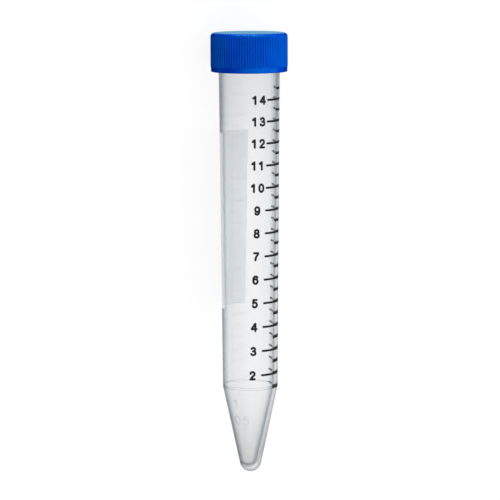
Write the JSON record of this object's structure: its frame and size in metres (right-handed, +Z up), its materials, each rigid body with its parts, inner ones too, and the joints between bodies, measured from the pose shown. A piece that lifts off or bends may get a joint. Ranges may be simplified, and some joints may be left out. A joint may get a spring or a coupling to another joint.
{
  "type": "15 ml conical tube",
  "caption": "Clear plastic sample tube with a conical round tip, a tapered barrel and a ribbed blue screw cap with a plug seal, lying on its side.",
  "frame": {"origin": "on the resting surface, under the middle of the object's box", "axes": "+Y from the tip towards the cap, +Z up from the resting surface, +X to the right of the printed side"},
  "size_m": [0.021, 0.1212, 0.0212],
  "materials": {
    "clear_plastic": "clear, slightly milky moulded polypropylene",
    "blue_plastic": "satin moulded polyethylene",
    "black_ink": "printed ink of the scale and its numbers",
    "pale_ink": "printed ink of the bare writing patch"
  },
  "bodies": {
    "tube": {"tube": "clear_plastic"},
    "cap": {"screw_cap": "blue_plastic"}
  },
  "joints": [
    {"name": "cap_lift", "type": "slide", "parent": "tube", "child": "cap", "axis": [0, 0.9994, 0.0339], "range_m": [0, 0.0135]}
  ]
}
